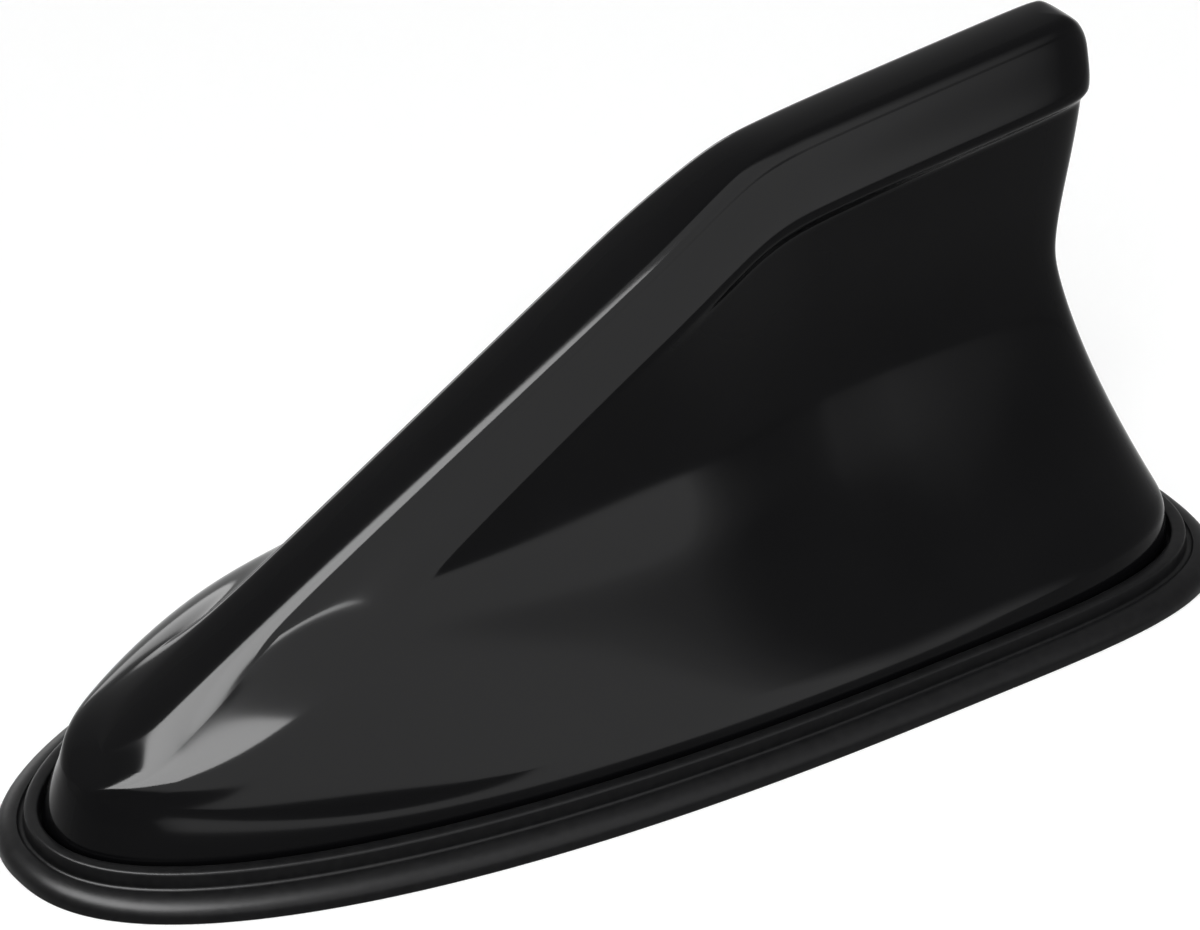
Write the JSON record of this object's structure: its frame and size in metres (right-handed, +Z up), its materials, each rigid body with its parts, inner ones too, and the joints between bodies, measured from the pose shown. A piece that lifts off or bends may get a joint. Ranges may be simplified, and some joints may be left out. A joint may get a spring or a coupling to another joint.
{
  "type": "shark fin aerial",
  "caption": "Roof aerial for a car: gloss black fin cover on an oval rubber base, stuck down by a foam pad, with a cable outlet under it.",
  "frame": {"origin": "bottom centre, on the roof panel under the middle of the rubber base", "axes": "+X from the nose to the tail, +Z up; the part is symmetric about the XZ plane"},
  "size_m": [0.166, 0.071, 0.0711],
  "materials": {
    "gloss_black": "high gloss moulded",
    "gasket_rubber": "satin moulded rubber",
    "plate_plastic": "fine grain",
    "foam_tape": "closed-cell foam",
    "zinc_steel": "zinc plated",
    "seal_rubber": "soft foam rubber",
    "grommet_rubber": "satin",
    "tinned_steel": "tinned",
    "gold_brass": "bright",
    "board_green": "solder mask",
    "chip_black": "moulded",
    "can_aluminium": "satin",
    "ferrite_grey": "sintered",
    "ceramic_tan": "fired ceramic",
    "header_plastic": "natural nylon",
    "holder_plastic": "natural moulded",
    "copper_wire": "enamelled"
  },
  "bodies": {
    "root": {"fin_cover": "gloss_black", "base_gasket": "gasket_rubber", "base_plate": "plate_plastic", "adhesive_pad": "foam_tape", "cover_screws": "zinc_steel", "perimeter_seal": "seal_rubber", "cable_grommet": "grommet_rubber", "ground_plate": "tinned_steel", "ground_springs": "gold_brass", "circuit_board": "board_green", "board_screws": "zinc_steel", "shield_can": "tinned_steel", "amplifier_chip": "chip_black", "regulator_chip": "chip_black", "filter_capacitor": "can_aluminium", "filter_coils": "ferrite_grey", "chip_capacitors": "ceramic_tan", "chip_resistors": "chip_black", "coax_header": "gold_brass", "power_header": "header_plastic", "element_holder": "holder_plastic", "holder_screws": "zinc_steel", "top_plate": "tinned_steel", "coil_former": "holder_plastic", "loading_coil": "copper_wire", "feed_tab": "gold_brass"}
  },
  "joints": []
}
